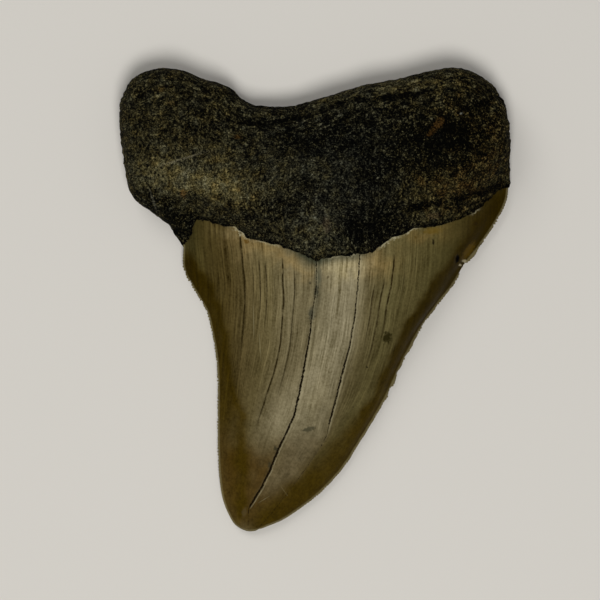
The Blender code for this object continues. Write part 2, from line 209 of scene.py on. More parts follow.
def noiseAt(places, sizes, octaves=1, seed=0.0):
    # Soft noise at each place, its lumps as long in X, Y and Z as sizes says (mm)
    scaled = places / np.array(sizes) + seed
    if octaves == 1:
        return np.array([noise.noise(Vector(p)) for p in scaled])
    fading = 0.8        # how fast the octaves grow weaker
    finer = 2.1         # how much finer each octave is
    return np.array([noise.fractal(Vector(p), fading, finer, octaves) for p in scaled])


def patch(plan, patches):
    # Soft patches on the plan: X, Y, half length, half width, turn in degrees, strength
    total = np.zeros(len(plan))
    for x, y, halfX, halfY, turn, strength in patches:
        cosine, sine = math.cos(math.radians(turn)), math.sin(math.radians(turn))
        lengthwise = ((plan[:, 0] - x) * cosine + (plan[:, 1] - y) * sine) / halfX
        crosswise = ((plan[:, 1] - y) * cosine - (plan[:, 0] - x) * sine) / halfY
        total += strength * np.exp(-(lengthwise * lengthwise + crosswise * crosswise))
    return total


def readPoints(mesh, what):
    # "co" or "normal" of every point
    numbers = np.zeros(len(mesh.vertices) * 3, np.float32)
    mesh.vertices.foreach_get(what, numbers)
    return numbers.reshape(-1, 3).astype(float)


def writePlaces(mesh, places):
    mesh.vertices.foreach_set("co", (places * mm).astype(np.float32).ravel())
    mesh.update()


# The tooth: a finer copy of the solid, with its relief worked in. Sizes are in mm.

toothShape = {
    "subdivisions": 2,
    "edgeCrease": 0.85,          # keeps the cutting edges sharp, 0 to 1
    "rootSwell": 0.34,           # room lost to smoothing, given back round the root
    "serrationPitch": 0.75,
    "serrationDepth": 0.26,
    "serrationReach": 1.1,       # how far in from the edge they fade out
    "wornTip": 9,                # the edges are worn smooth this far from the tip
    "crackHalfWidth": 0.2,
    "crackShoulder": 0.32,       # from a crack's middle to where its walls end
    "crackDepth": 0.22,
    "enamelJag": 0.45,           # how far the broken enamel edge wanders
    "enamelDitch": 0.3,
    "enamelLip": 0.08,
    "rootLumps": 0.34,
    "rootGrain": 0.16,
    "rootPits": 0.5,
    "calmMiddle": (5, 24, 12, 13, 0, 0.65),     # a patch where the lumps are lower
    "creaseDepth": 0.3,
    "hole": (36.0, 10.5, 0.5, 0.9, -10, 0.7),   # a patch, 0.7 deep
    "topBand": 0.12,             # tone of the fibrous band along the top
}


def selectOnly(piece):
    bpy.ops.object.select_all(action='DESELECT')
    piece.select_set(True)
    bpy.context.view_layer.objects.active = piece


def fillCracks(mesh):
    # The solid's two wide grooves are closed; narrower cracks are cut later
    floorHalf, lipStart = 0.07, 0.1     # mm from the groove's middle
    neighbourReach = 0.75               # mm
    grooveTop = 13                      # mm in Y
    places = readPoints(mesh, "co") / mm
    normals = readPoints(mesh, "normal")
    tree = kdtree.KDTree(len(places))
    for i, p in enumerate(places):
        tree.insert(p, i)
    tree.balance()
    for points in (crackA, crackB):
        gap = gapTo(points, places[:, :2])
        inside = (np.abs(gap) < floorHalf) & (normals[:, 2] > 0.1) & (places[:, 1] < grooveTop)
        for i in np.flatnonzero(inside):
            beside = [n for p, n, away in tree.find_n(places[i], 4) if n != i and away < neighbourReach]
            lips = [places[n, 2] for n in beside if abs(gap[n]) > lipStart]
            if lips and min(lips) > places[i, 2]:
                places[i, 2] = sum(lips) / len(lips)
    writePlaces(mesh, places)


def makeTooth(shape):
    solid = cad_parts["tooth"]
    tooth = bpy.data.objects.new("fossilTooth", solid.data.copy())
    scene.collection.objects.link(tooth)
    selectOnly(tooth)
    mesh = tooth.data
    bpy.ops.object.mode_set(mode='EDIT')
    bpy.ops.mesh.select_all(action='SELECT')
    bpy.ops.mesh.remove_doubles(threshold=0.000001)
    bpy.ops.mesh.tris_convert_to_quads(
        face_threshold=math.radians(50), shape_threshold=math.radians(60))
    bpy.ops.mesh.customdata_custom_splitnormals_clear()
    bpy.ops.mesh.select_all(action='DESELECT')
    bpy.ops.mesh.select_mode(type='EDGE')
    bpy.ops.mesh.edges_select_sharp(sharpness=math.radians(75))   # the cutting edges
    bpy.ops.transform.edge_crease(value=shape["edgeCrease"])
    bpy.ops.mesh.select_mode(type='VERT')
    bpy.ops.object.mode_set(mode='OBJECT')
    while mesh.uv_layers:
        mesh.uv_layers.remove(mesh.uv_layers[0])
    fillCracks(mesh)
    print("copied the solid:", len(mesh.vertices), "points")

    finer = tooth.modifiers.new("finer", 'SUBSURF')
    finer.levels = shape["subdivisions"]
    finer.render_levels = shape["subdivisions"]
    bpy.ops.object.modifier_apply(modifier="finer")
    bpy.ops.object.shade_smooth()
    print("made it finer:", len(mesh.vertices), "points")
    return tooth


def workRelief(tooth, shape):
    mesh = tooth.data
    places = readPoints(mesh, "co") / mm
    normals = readPoints(mesh, "normal")
    plan = places[:, :2].copy()
    x, y = plan[:, 0], plan[:, 1]
    down = -y
    flat = np.column_stack((plan, np.zeros(len(plan))))
    isFront = normals[:, 2] > -0.05

    leftGap, leftAlong, leftAcross = nearLine(plan, smoothLine(leftEdge))
    rightGap, rightAlong, rightAcross = nearLine(plan, smoothLine(rightEdge))
    inset = np.minimum(leftGap, -rightGap)
    edgeGap = np.minimum(np.abs(leftGap), np.abs(rightGap))
    topGap = np.abs(gapTo(rootTop, plan))
    guideGaps = [gapTo(points, plan) for points, place in growthGuides]
    jag = shape["enamelJag"] * (noiseAt(flat, (2.4, 2.4, 1), 1, 3.1)
                                + 0.9 * noiseAt(flat, (0.8, 0.8, 1), 2, 7.7))
    onCrown = np.where(isFront, gapTo(enamelEnd, plan), gapTo(enamelEndBack, plan)) + jag
    root = 1 - ease(onCrown / 0.6 + 0.5)
    print("measured the tooth's lines")

    # The root swells back to the size it had before smoothing
    steep = (1 - normals[:, 2] ** 2) ** 2
    places += normals * (shape["rootSwell"] * steep * root)[:, None]

    # Serrations: small rounded teeth on both cutting edges, worn toward the tip
    uneven = 0.8 + 0.8 * noiseAt(flat, (3, 3, 1), 1, 21.0)
    for gap, along, across, outward in (
            (leftGap, leftAlong, leftAcross, -1), (rightGap, rightAlong, rightAcross, 1)):
        wave = np.abs(np.sin(np.pi * along / shape["serrationPitch"])) ** 0.7 - 0.45
        worn = ease((along - shape["wornTip"]) / 8) * ease((onCrown - 0.5) / 3)
        near = ease(1 - np.abs(gap) / shape["serrationReach"])
        push = shape["serrationDepth"] * wave * worn * near * uneven
        places[:, :2] += across * (outward * push)[:, None]

    # The two deep cracks, wider toward the tip and closed at their lower ends
    wobble = (noiseAt(flat, (2.2, 2.2, 1), 1, 12.0) * 0.12
              + noiseAt(flat, (0.8, 0.8, 1), 1, 15.0) * 0.06)
    gapA = guideGaps[2] + wobble
    gapB = guideGaps[3] + wobble
    low = ease((4 - y) / 27)
    halfWidth = shape["crackHalfWidth"]
    halfA = halfWidth * (0.4 + 0.75 * low) * ease((y + 53.5) / 2.5) - 0.02
    halfB = halfWidth * (0.52 + 0.4 * low) * ease((y + 36.5) / 9) - 0.02
    for gap, half in ((gapA, halfA), (gapB, halfB)):
        cut = np.clip(1 - (gap / shape["crackShoulder"]) ** 2, 0, 1) * np.clip(half / halfWidth, 0, 1)
        places[:, 2] -= shape["crackDepth"] * cut * isFront * (onCrown > 0.1)

    # A ditch above the broken enamel edge, and the edge itself a little proud
    ditch = bell(onCrown, 0.4, -0.45)
    lip = bell(onCrown, 0.35, 0.35)
    facing = np.where(isFront, 1.0, -0.5)       # half as strong on the outer face
    inside = ease(edgeGap / 1.5)
    places[:, 2] += facing * inside * (shape["enamelLip"] * lip - shape["enamelDitch"] * ditch)

    # Root: long low lumps that follow its top, coarse grain, pits and creases
    layered = np.column_stack((x / 2.6, topGap, places[:, 2]))
    lumps = noiseAt(layered, (2.6, 1.9, 2.6), 4, 31.0)
    grain = noiseAt(places, (1.3, 1.0, 1.3), 3, 47.0)
    pits = np.clip(noiseAt(places, (1.7, 1.3, 1.7), 1, 61.0) - 0.28, 0, 1)
    calm = 1 - patch(plan, (shape["calmMiddle"],))
    relief = (shape["rootLumps"] * lumps * calm + shape["rootGrain"] * grain
              - shape["rootPits"] * pits * calm)
    wobbly = plan + np.column_stack((wobble, wobble)) * 3
    creaseAndShade = np.zeros(len(plan))
    for points in rootCreases:
        creaseAndShade = np.maximum(creaseAndShade, bell(gapTo(points, wobbly), 0.6))
    relief -= shape["creaseDepth"] * creaseAndShade * isFront
    hole = patch(plan, (shape["hole"],)) * isFront
    away = ease(-onCrown / 1.2)
    places += normals * (relief * root * away - hole)[:, None]
    places[:, 2] = np.maximum(places[:, 2], 0.0)
    writePlaces(mesh, places)
    print("worked the relief")

    # Growth place: given on the guides, shared out between them, in mm beyond them
    guidePlaces = [place for points, place in growthGuides]
    growth = np.where(
        guideGaps[0] < 0, guidePlaces[0] + guideGaps[0], guidePlaces[-1] + guideGaps[-1])
    for i in range(len(guideGaps) - 1):
        between = (guideGaps[i] >= 0) & (guideGaps[i + 1] < 0)
        share = guideGaps[i] / (guideGaps[i] - guideGaps[i + 1] + 1e-9)
        step = guidePlaces[i + 1] - guidePlaces[i]
        growth = np.where(between, guidePlaces[i] + share * step, growth)

    # Where the stains are, their outlines broken by noise
    soft = noiseAt(flat, (9, 9, 1), 3, 70.0)
    blotch = 0.8 * noiseAt(flat, (3.5, 3.5, 1), 3, 75.0)
    warp = np.column_stack((noiseAt(flat, (4, 4, 1), 4, 81.0), noiseAt(flat, (4, 4, 1), 4, 92.0)))
    warped = plan + warp * 2.6
    leftBand = gapTo(amberLeft, plan) + blotch
    rightBand = gapTo(amberRight, plan) + blotch
    towardEdge = 0.85 * ease((36 - down) / 8)
    leftAmber = np.where(
        leftBand > 0, np.maximum(bell(leftBand, 2.2), towardEdge), bell(leftBand, 1.5))
    leftAmber *= ease((down + 14) / 5)
    rightAmber = np.where(rightBand > 0, bell(rightBand, 1.2 + 1.8 * ease((down - 22) / 15)), 1.0)
    amber = np.clip((leftAmber + rightAmber) * (0.95 + 0.25 * soft), 0, 1)
    crestGap = gapTo(crestSheen, plan)
    # Painted shade: lower down, the crown's sides grow darker away from the crest
    flankShade = (1 - bell(crestGap, 6.5)) * ease((down - 2) / 18) * ease((46 - down) / 8)
    leftOfA = ease(0.5 - gapA / 2)
    tipStain = 1 - 0.4 * bell(leftGap, 2.2) * ease((down - 20) / 15)
    tipStain = tipStain * ease((down - 29 + 6 * soft) / 17)
    tipStain = tipStain * (0.55 + 0.45 * np.maximum(leftOfA, ease((down - 45) / 7)))
    ink = bell(gapA, 1.2, 0.35) * ease((12 - down) / 9) * np.clip(0.7 + 2 * blotch, 0, 1)

    # How strong the growth lines are, and the root's tone
    lineStrength = 1.15 - 0.2 * ease((growth - 12) / 12) - 0.4 * ease((growth - 54) / 8)
    lineStrength = lineStrength * (1 - 0.7 * ease((down - 14) / 24)) * (1 - 0.5 * amber)
    topBand = shape["topBand"] * (bell(topGap, 2.2, 1.8) - 0.9 * bell(topGap, 2.4, 6.5))
    rootTone = patch(warped, rootTones) + topBand * ease((x + 4) / 8) * ease((34 - x) / 10)
    rootWarm = patch(warped, rootWarmth)

    # What the material reads at each point, by name
    known = {
        "onCrown": onCrown,         # mm below the enamel's end, minus on the root
        "isFront": isFront,
        "growth": growth,
        "inset": inset,             # mm in from the cutting edges
        "topGap": topGap,           # mm in from the root's top
        "gapA": gapA,
        "gapB": gapB,
        "halfA": halfA,
        "halfB": halfB,
        "amber": amber,
        "amberDeep": amber * ease((38 - down) / 45),
        # painted sheen along the crown's crest
        "crestSheen": bell(crestGap, 4.0) * np.clip(0.9 + 0.6 * soft, 0, 1),
        # painted shade on the crown's sides
        "flankShade": flankShade,
        "tipStain": tipStain,
        "borderOchre": patch(warped, ochrePatches),
        "cream": patch(warped, creamPatches),
        "ink": ink,
        "thinEnamel": bell(onCrown, 1.5) * patch(plan, thinPlaces),
        "lineStrength": lineStrength,
        "mottled": (0.1 + 0.2 * ease((down - 10) / 22)) * (1 - 0.4 * bell(crestGap, 5)),
        "chip": patch(plan, chipPlaces),
        "rootTone": rootTone,
        "rootRough": np.clip(1.08 - 2.2 * rootTone + 0.35 * rootWarm, 0.98, 1.52),
        # painted shade in the root's creases
        "creaseAndShade": creaseAndShade * isFront * np.clip(0.6 + 1.6 * blotch, 0, 1),
        "rootWarm": rootWarm,
    }
    for name, numbers in known.items():
        layer = mesh.attributes.new(name, 'FLOAT', 'POINT')
        layer.data.foreach_set("value", np.asarray(numbers, np.float32))


# Where the stains lie: X, Y, half length, half width, turn in degrees, strength

ochrePatches = (
    (-17, 15.5, 6, 3, -20, 0.7), (-6.5, 10.2, 8, 2.0, -30, 1.0), (15, 9.8, 5, 3.2, -10, 1.0),
    (28, 17, 7, 2.5, 10, 0.6),
)
creamPatches = (
    (7.2, 8.8, 4.6, 2.3, 0, 1.1), (-3.2, 8.9, 3.4, 1.8, -30, 0.25), (-21, 17.5, 4, 2, -10, 0.2),
    (-13, 12.5, 7, 3, -15, 0.15), (3.5, 6.5, 2.5, 2.5, 0, 0.35), (12.5, 9.5, 3, 2, 0, 0.25),
    # the patch at (1.2, -24) is painted sheen on the crest, low on the crown
    (1.2, -24, 2.4, 8, -14, 0.2),
)
thinPlaces = ((-3, 12, 5, 5, 0, 0.9), (3, 10.5, 6, 5, 0, 1.0), (11, 11.5, 5, 4, 0, 0.8))
chipPlaces = (
    (-18.7, 17.1, 2.4, 1.8, -45, 1.0), (-13.1, 14.8, 1.3, 1.2, 0, 0.8), (-10.1, 14.0, 1.0, 1.0, 0, 0.6),
    (4.6, 11.5, 1.4, 1.2, 0, 0.8), (8.8, 12.0, 1.2, 1.2, 0, 0.9), (17.9, 14.0, 1.9, 1.4, 40, 1.0),
    (20.2, 15.8, 1.0, 1.0, 0, 0.9), (24.2, 17.3, 1.6, 1.2, 30, 1.0), (40.2, 22.6, 1.2, 1.0, 0, 0.7),
)
# The root's paler patches, and the darker ones as minus
rootTones = (
    (-34, 46, 17, 13, 0, 0.05), (-36, 35, 14, 6, 0, 0.11), (-31, 29.5, 15, 5.5, -4, 0.29),
    (-22, 27.5, 9, 4, 0, 0.18), (-28.5, 45, 4, 3, 0, -0.08), (-34, 19, 8, 4.5, -38, -0.3),
    (-41.5, 23.5, 6, 2.6, -40, -0.2), (-5, 43, 24, 8, 0, -0.04), (-1.5, 39.5, 9, 3.8, 0, -0.14),
    (3, 42.5, 11, 2.6, 4, -0.15), (-22, 38, 4, 3, 0, 0.07), (19, 36, 7, 6, 0, -0.16),
    (14, 33, 5, 5, 0, -0.10), (-1, 34, 8, 3.5, 0, 0.12), (-10, 32, 6, 5, 0, 0.05),
    (1.8, 19.5, 5, 4.5, 0, 0.22), (2.8, 14.5, 6, 3.5, 0, 0.2), (-7, 17, 5, 2.5, -15, 0.08),
    (-9, 24, 8, 3, 0, -0.12), (15, 17.5, 7.5, 5.5, 0, -0.42), (9, 16.5, 3, 4, 0, -0.08),
    (32, 28, 11, 3.2, 5, 0.14), (41, 32.5, 8, 5, 10, 0.05), (29.5, 21.3, 4.5, 1.7, 10, 0.2),
    (31.5, 39.8, 7, 5.5, 0, -0.62), (20, 45, 8, 3, 8, -0.1), (39, 44, 6, 5, 0, -0.24),
    # the patch at (30, 23.6) darkens the crease above the right enamel edge: painted shade
    (44.5, 41, 3, 3, 0, 0.06), (24, 52.5, 14, 3.5, 12, 0.08), (30, 23.6, 9, 0.8, 6, -0.25),
    (40.0, 47.6, 6, 1.4, 25, -0.2), (31.0, 45.0, 3.5, 1.5, 35, 0.10),
)
# Its rusty patches, and the cold grey ones as minus
rootWarmth = (
    (36, 38, 14, 18, 0, 0.5), (36, 28, 12, 5, 5, 0.4), (-36, 44, 14, 14, 0, 0.12),
    (-22, 27, 12, 5, 0, 0.2), (31.0, 45.0, 3, 1.5, 35, 0.9), (14, 32, 9, 14, 0, -0.45),
    (2, 26, 12, 14, 0, -0.4), (31, 40, 7, 5, 0, -0.6), (-2, 42, 16, 6, 0, -0.25),
    (44, 42, 5, 9, 0, 0.25),
)

tooth = makeTooth(toothShape)
workRelief(tooth, toothShape)


# Fossil enamel is dentine under a hard stained glaze, polished by the sea bed:
# it gives fine growth lines and a soft sheen, which here is mostly painted into
# the colour along the crest. The root is bone whose pores filled with minerals: it is matt, with a salt and
# pepper of specks.

toothFinish = {
    "crownBodyAndSheen": (            # growth place and its colour, from left to right; the pale middle is partly the enamel's own tone and partly painted sheen
        (2, "#3e371a"), (5, "#42381a"), (10, "#4b3f1f"), (15, "#5a4e2f"), (21, "#685d3c"),
        (27, "#706649"), (32, "#706649"), (37, "#746b4f"), (42, "#746b50"), (47, "#645a3b"),
        (52, "#5d5534"), (57, "#584f2e"), (62, "#524a29"), (67, "#443c1d"), (72, "#342a0d")),
    "stains": (               # where, colour and strength, each laid over the last
        # the first two stains are a painted sheen along the crest and painted shade on the crown's sides
        ("crestSheen", "#92886b", 0.6), ("flankShade", "#382d0c", 0.35), ("borderOchre", "#8d723f", 0.5),
        ("cream", "#aa9c74", 0.75), ("tipStain", "#422f08", 0.9), ("amber", "#3d2f05", 0.95),
        ("amberDeep", "#211800", 0.7), ("ink", "#3d3d2e", 0.5), ("thinEnamel", "#3c3e2e", 0.75)),
    # paleRimHighlight is a painted highlight along the cutting edge
    "paleRimHighlight": "#7d7350", "chip": "#aba382", "fineCrack": "#261d08", "crack": "#140d05",
    "crownRoughness": 0.42, "crownSpecular": 0.012,
    "streakWidth": 0.8,       # mm between growth lines
    "streakContrast": 4.4,
    "lineHeight": 0.15,       # mm
    "rootSteps": (            # tone and its colour, from the pores to the palest specks
        (0.0, "#020201"), (0.1, "#0f0e0a"), (0.2, "#1e1c14"), (0.35, "#353123"),
        (0.5, "#4d4834"), (0.75, "#736c51"), (1.0, "#9b9376")),
    "rootHues": (             # tints from cold to rusty
        (0.1, "#d6e2f2"), (0.35, "#eef0e0"), (0.55, "#faf0c4"), (0.8, "#ffdca2"), (1.0, "#ffc890")),
    "rootRoughness": 0.9, "rootSpecular": 0.03,
    "rootBase": 0.175,        # tone of the root as a whole
    "speckSize": 0.46,        # mm across a speck
    "speckContrast": 3.5,
    "clumpContrast": 0.7,
    "grainHeight": 0.6,       # mm
}
# Fine cracks along the growth lines: growth place, from and to (mm below the
# enamel's end), half width, darkness
fineCracks = (
    (14.0, -1, 30, 0.17, 1.0), (16.6, 5, 16, 0.10, 0.7), (18.5, 4, 21, 0.12, 0.85),
    (20.3, 4, 22, 0.12, 0.85), (22.6, 5, 19, 0.08, 0.45), (25.0, 2, 46, 0.16, 1.0),
    (27.8, 4, 36, 0.12, 0.8), (38.2, 8, 24, 0.07, 0.4), (48.0, 7, 25, 0.12, 0.85),
    (50.1, 7, 30, 0.13, 0.9), (52.0, 3, 22, 0.15, 1.0), (55.0, 8, 18, 0.08, 0.6),
    (57.5, 5, 14, 0.07, 0.5), (59.8, 4, 14, 0.07, 0.4), (62.3, 4, 14, 0.06, 0.35),
    (11.4, 2, 13, 0.08, 0.6), (8.9, 3, 18, 0.07, 0.45), (6.3, 3, 16, 0.07, 0.4),
)
# Spots and scratches: X, Y, half length, half width, turn, colour, strength
enamelSpots = (
    (18.1, -9.3, 1.2, 1.4, 0, "#262108", 0.95), (-1.6, -32.4, 1.5, 0.6, 14, "#3f3c28", 0.85),
    # the spot at (36.0, 10.5) paints shade into the hole dug there
    (29.7, 14.6, 0.25, 0.75, 8, "#0d0803", 0.9), (36.0, 10.5, 0.5, 1.0, -10, "#020101", 1.0),
    (37.9, 10.0, 0.7, 0.4, 0, "#a59b7c", 0.85), (38.9, 12.6, 0.9, 2.6, -35, "#54400a", 0.8),
    (36.8, 9.0, 0.4, 0.3, 0, "#a59b7c", 0.8), (0.3, 2.4, 0.55, 1.4, -4, "#17190f", 0.85),
    (-0.9, -3.6, 0.8, 1.5, 5, "#35362b", 0.7), (0.9, 6.2, 0.8, 2.6, 0, "#565746", 0.45),
    (3.2, 5.9, 0.3, 0.35, 0, "#3a3216", 0.7), (-1.3, 4.4, 0.35, 0.35, 0, "#2a2719", 0.6),
    (13.1, -16.8, 0.22, 0.22, 0, "#0f0b05", 0.85), (9.7, -26.9, 0.25, 0.22, 0, "#2d2612", 0.6),
    (40.5, 19.5, 0.7, 0.5, 0, "#2a1e06", 0.8), (-9.9, -37.4, 0.5, 0.7, 20, "#2c2a1c", 0.7),
    (-11.5, -41.6, 0.45, 0.7, 0, "#2f2e20", 0.6), (-12.9, -50.3, 1.4, 0.09, 32, "#857c5c", 0.4),
    (-7.9, -48.0, 0.09, 1.6, 35, "#7f7450", 0.3), (-17.9, -53.6, 0.6, 1.1, -10, "#5c5038", 0.3),
    (-15.5, -5.2, 0.11, 4.6, 1, "#948b69", 0.4), (-13.9, -11.5, 0.1, 3.4, 4, "#948b69", 0.35),
    (-0.3, -25.4, 2.6, 0.1, 32, "#8d8466", 0.35), (29.6, 17.5, 2.2, 0.8, 5, "#66500f", 0.5),
    (-17.3, 14.9, 0.8, 0.5, -30, "#5e4312", 0.8), (25.2, 15.8, 0.3, 0.4, 0, "#4a380c", 0.6),
    (-19.9, -25.5, 0.3, 0.3, 0, "#2d2408", 0.5),
)
rootSpots = (
    (30.9, 44.4, 1.5, 0.8, 48, "#5f4420", 0.65), (29.3, 42.4, 1.6, 0.5, 42, "#523a18", 0.5),
    (-19.5, 41.1, 0.7, 0.5, 0, "#5f431a", 0.7), (-38.7, 53.0, 0.7, 0.5, 20, "#756235", 0.7),
    # the spot at (36.7, 46.9) is a painted glint, a highlight on the root
    (-36.1, 49.6, 0.8, 0.4, 0, "#6b5c37", 0.6), (36.7, 46.9, 0.4, 0.25, 20, "#8d8d7e", 0.8),
    (2.8, 18.9, 1.0, 1.5, 0, "#5e4d3b", 0.4), (-33.1, 26.9, 0.7, 0.9, 0, "#7a5a2c", 0.7),
    (-33.1, 35.6, 5.2, 0.22, 17, "#8f876c", 0.55), (-40.8, 25.4, 2.4, 0.25, -72, "#7d7a66", 0.5),
    (29.5, 21.2, 1.6, 0.7, 10, "#6b5a3c", 0.5),
)


def fillRamp(ramp, steps, length=1.0):
    # Sets a ramp's colours, each at its place along the length
    while len(ramp.elements) < len(steps):
        ramp.elements.new(0.5)
    for element, (place, colour) in zip(ramp.elements, steps):
        element.position = place / length
        element.color = linear(colour)


def paintSpots(tree, base, spots, inMm, wander, shown):
    # Lays soft spots over the base colour; wander breaks up their outlines
    anyDepth = 1e6
    for x, y, halfX, halfY, turn, colour, strength in spots:
        local = addNode(tree, 'ShaderNodeMapping', {
            "vector_type": 'TEXTURE', "Vector": inMm, "Location": (x, y, 0),
            "Rotation": (0, 0, math.radians(turn)), "Scale": (halfX, halfY, anyDepth)})
        away = addNode(tree, 'ShaderNodeVectorMath', {"operation": 'LENGTH', 0: local}, "Value")
        away = addNode(tree, 'ShaderNodeMath', {"operation": 'ADD', 0: away, 1: wander})
        share = addNode(tree, 'ShaderNodeMapRange', {
            "interpolation_type": 'SMOOTHSTEP', "Value": away, "From Min": 1.4, "From Max": 0.5,
            "To Min": 0.0, "To Max": strength})
        share = addNode(tree, 'ShaderNodeMath', {"operation": 'MULTIPLY', 0: share, 1: shown})
        base = addNode(tree, 'ShaderNodeMix', {
            "data_type": 'RGBA', 0: share, 6: base, 7: linear(colour)}, 2)
    return base


def toothMaterial(mesh, finish):
    material = bpy.data.materials.new("sea-polished enamel and mineralised root bone")
    material.use_nodes = True
    tree = material.node_tree
    tree.nodes.clear()
    coordinates = addNode(tree, 'ShaderNodeTexCoord', {}, "Object")
    inMm = addNode(tree, 'ShaderNodeVectorMath', {"operation": 'SCALE', 0: coordinates, "Scale": 1 / mm})
    value = {}
    for name, layer in mesh.attributes.items():
        if layer.data_type == 'FLOAT' and layer.domain == 'POINT':
            value[name] = addNode(tree, 'ShaderNodeAttribute', {"attribute_name": name}, "Fac")
    below = value["onCrown"]

    # Fine noise that both shaders share. Here and below, W only picks another
    # pattern of the same kind.
    fine = addNode(tree, 'ShaderNodeTexNoise', {
        "Vector": inMm, "Scale": 1.7, "Detail": 3, "Roughness": 0.6}, "Fac")
    fineCentred = addNode(tree, 'ShaderNodeMath', {"operation": 'SUBTRACT', 0: fine, 1: 0.5})

    # Growth lines of the enamel
    lower = addNode(tree, 'ShaderNodeMath', {"operation": 'MULTIPLY', 0: below, 1: 0.045})
    alongGrowth = addNode(tree, 'ShaderNodeCombineXYZ', {0: value["growth"], 1: lower, 2: value["isFront"]})
    streaks = addNode(tree, 'ShaderNodeTexNoise', {
        "Vector": alongGrowth, "Scale": 1 / finish["streakWidth"], "Detail": 4, "Roughness": 0.6}, "Fac")
    hairs = addNode(tree, 'ShaderNodeTexNoise', {
        "noise_dimensions": '4D', "W": 9.0, "Vector": alongGrowth, "Scale": 3.6, "Detail": 2,
        "Roughness": 0.6}, "Fac")
    bands = addNode(tree, 'ShaderNodeTexNoise', {
        "noise_dimensions": '4D', "W": 17.0, "Vector": alongGrowth, "Scale": 0.2, "Detail": 2}, "Fac")
    fading = addNode(tree, 'ShaderNodeTexNoise', {
        "noise_dimensions": '4D', "W": 19.0, "Vector": inMm, "Scale": 0.22, "Detail": 2}, "Fac")
    fading = addNode(tree, 'ShaderNodeMapRange', {
        "Value": fading, "From Min": 0.35, "From Max": 0.65, "To Min": 0.45, "To Max": 1.3})
    mottle = addNode(tree, 'ShaderNodeTexNoise', {
        "noise_dimensions": '4D', "W": 21.0, "Vector": inMm, "Scale": 0.55, "Detail": 3,
        "Roughness": 0.65}, "Fac")
    mottle = addNode(tree, 'ShaderNodeMath', {"operation": 'SUBTRACT', 0: mottle, 1: 0.5})
    tone = -0.5         # takes the mean of the three below back to 0
    for part, strength in ((streaks, 0.45), (hairs, 0.42), (bands, 0.13)):
        tone = addNode(tree, 'ShaderNodeMath', {
            "operation": 'MULTIPLY_ADD', 0: part, 1: strength, 2: tone})
    for strength in (value["lineStrength"], fading):
        tone = addNode(tree, 'ShaderNodeMath', {"operation": 'MULTIPLY', 0: tone, 1: strength})
    for part, strength in ((mottle, value["mottled"]), (fineCentred, 0.22)):
        tone = addNode(tree, 'ShaderNodeMath', {
            "operation": 'MULTIPLY_ADD', 0: part, 1: strength, 2: tone})

    # Enamel colour: pale along the crest, partly its own tone and partly a painted sheen, olive at the
    # sides, then the stains
    growthEnd = finish["crownBodyAndSheen"][-1][0]
    growthShare = addNode(tree, 'ShaderNodeMath', {
        "operation": 'DIVIDE', 0: value["growth"], 1: growthEnd})
    growthShare = addNode(tree, 'ShaderNodeMath', {
        "operation": 'MULTIPLY_ADD', 0: fineCentred, 1: 0.02, 2: growthShare})
    enamel = addNode(tree, 'ShaderNodeValToRGB', {0: growthShare})
    fillRamp(enamel.node.color_ramp, finish["crownBodyAndSheen"], growthEnd)
    for mask, colour, strength in finish["stains"]:
        share = addNode(tree, 'ShaderNodeMath', {
            "operation": 'MULTIPLY', "use_clamp": True, 0: value[mask], 1: strength})
        enamel = addNode(tree, 'ShaderNodeMix', {
            "data_type": 'RGBA', 0: share, 6: enamel, 7: linear(colour)}, 2)
    contrast = finish["streakContrast"]
    brown = (contrast, contrast * 1.04, contrast * 1.22)     # the dark lines are brown
    shade = addNode(tree, 'ShaderNodeVectorMath', {
        "operation": 'MULTIPLY_ADD', 0: tone, 1: brown, 2: (1, 1, 1)})
    enamel = addNode(tree, 'ShaderNodeVectorMath', {"operation": 'MULTIPLY', 0: enamel, 1: shade})

    # Root tone: specks and pores, and fibres that lie along the root's top and
    # stand upright lower down. Their contrast is partly the bone's own colour and partly painted light and
    # shade of its rough grain
    specks = addNode(tree, 'ShaderNodeTexNoise', {
        "noise_dimensions": '4D', "W": 2.0, "Vector": inMm, "Scale": 1 / finish["speckSize"],
        "Detail": 4, "Roughness": 0.75, "Distortion": 0.7}, "Fac")
    across = addNode(tree, 'ShaderNodeSeparateXYZ', {0: inMm}).node.outputs
    squeezed = addNode(tree, 'ShaderNodeMath', {"operation": 'MULTIPLY', 0: across[0], 1: 0.28})
    layered = addNode(tree, 'ShaderNodeCombineXYZ', {0: squeezed, 1: value["topGap"], 2: across[2]})
    fibres = addNode(tree, 'ShaderNodeTexNoise', {
        "noise_dimensions": '4D', "W": 5.0, "Vector": layered, "Scale": 1.3, "Detail": 4,
        "Roughness": 0.7, "Distortion": 0.6}, "Fac")
    upright = addNode(tree, 'ShaderNodeVectorMath', {"operation": 'MULTIPLY', 0: inMm, 1: (1.0, 0.35, 0.6)})
    upright = addNode(tree, 'ShaderNodeTexNoise', {
        "noise_dimensions": '4D', "W": 7.0, "Vector": upright, "Scale": 1.5, "Detail": 4,
        "Roughness": 0.7}, "Fac")
    lowDown = addNode(tree, 'ShaderNodeMapRange', {
        "Value": value["topGap"], "From Min": 10.0, "From Max": 18.0})
    fibres = addNode(tree, 'ShaderNodeMix', {0: lowDown, 2: fibres, 3: upright})
    fibres = addNode(tree, 'ShaderNodeMath', {"operation": 'SUBTRACT', 0: fibres, 1: 0.5})
    fibreContrast = addNode(tree, 'ShaderNodeMapRange', {
        "Value": value["topGap"], "From Min": 3.0, "From Max": 9.0, "To Min": 2.3, "To Max": 1.2})
    clumps = addNode(tree, 'ShaderNodeTexNoise', {
        "noise_dimensions": '4D', "W": 8.0, "Vector": inMm, "Scale": 0.5, "Detail": 2,
        "Roughness": 0.6}, "Fac")
    speckContrast, clumpContrast = finish["speckContrast"], finish["clumpContrast"]
    grainTone = -0.5 * (speckContrast + clumpContrast)
